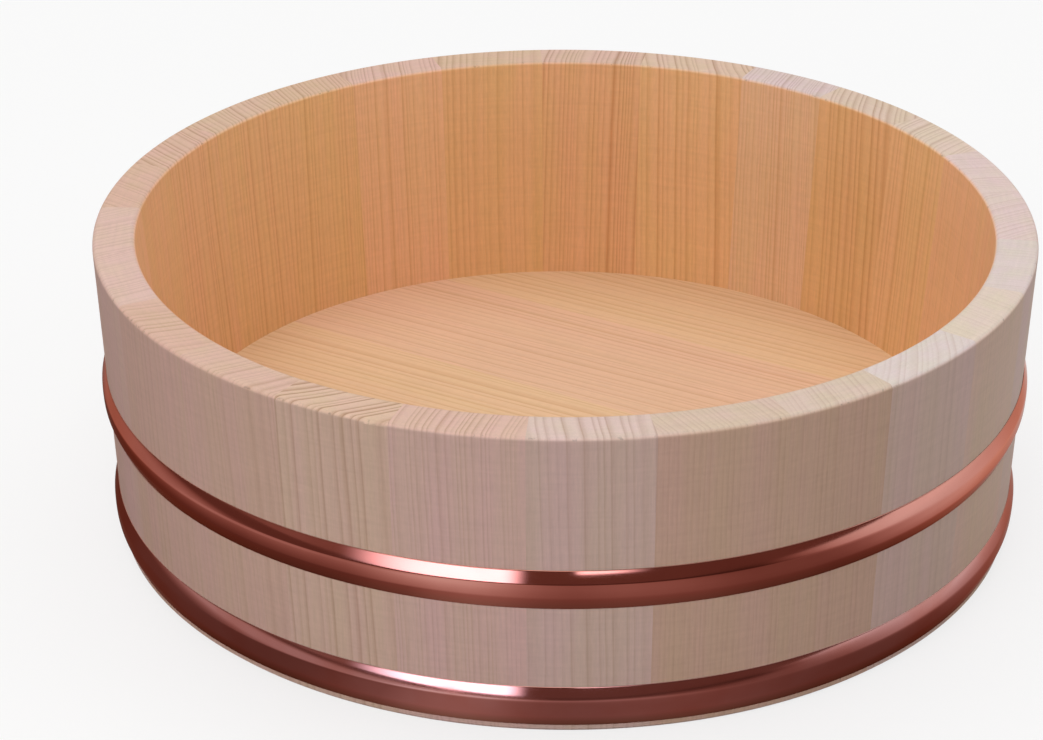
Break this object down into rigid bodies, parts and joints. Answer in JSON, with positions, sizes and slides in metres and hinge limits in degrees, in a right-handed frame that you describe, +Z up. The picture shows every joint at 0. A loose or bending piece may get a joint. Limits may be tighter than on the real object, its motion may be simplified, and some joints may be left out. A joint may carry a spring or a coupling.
{
  "type": "hangiri sushi rice tub",
  "caption": "Round open coopered wooden tub for cooling and seasoning sushi rice, with pegged staves, a floor set in a croze and crowned copper hoops driven onto a slight taper.",
  "frame": {"origin": "middle of the foot ring, on the plane the tub stands on", "axes": "+Z up along the tub's axis, -Y towards the side the picture shows"},
  "size_m": [0.27, 0.27, 0.089],
  "materials": {
    "stave_wood": "planed, unfinished",
    "floor_wood": "planed, unfinished",
    "hoop_copper": "polished copper",
    "peg_bamboo": "split bamboo"
  },
  "bodies": {
    "root": {"stave_01": "stave_wood", "stave_02": "stave_wood", "stave_03": "stave_wood", "stave_04": "stave_wood", "stave_05": "stave_wood", "stave_06": "stave_wood", "stave_07": "stave_wood", "stave_08": "stave_wood", "stave_09": "stave_wood", "stave_10": "stave_wood", "stave_11": "stave_wood", "stave_12": "stave_wood", "stave_13": "stave_wood", "stave_14": "stave_wood", "stave_15": "stave_wood", "stave_16": "stave_wood", "stave_17": "stave_wood", "stave_18": "stave_wood", "stave_19": "stave_wood", "stave_20": "stave_wood", "stave_21": "stave_wood", "stave_22": "stave_wood", "stave_23": "stave_wood", "stave_24": "stave_wood", "stave_25": "stave_wood", "floor_plank_1": "floor_wood", "floor_plank_2": "floor_wood", "floor_plank_3": "floor_wood", "floor_plank_4": "floor_wood", "floor_plank_5": "floor_wood", "upper_hoop": "hoop_copper", "lower_hoop": "hoop_copper", "stave_pegs": "peg_bamboo", "floor_pegs": "peg_bamboo"}
  },
  "joints": []
}
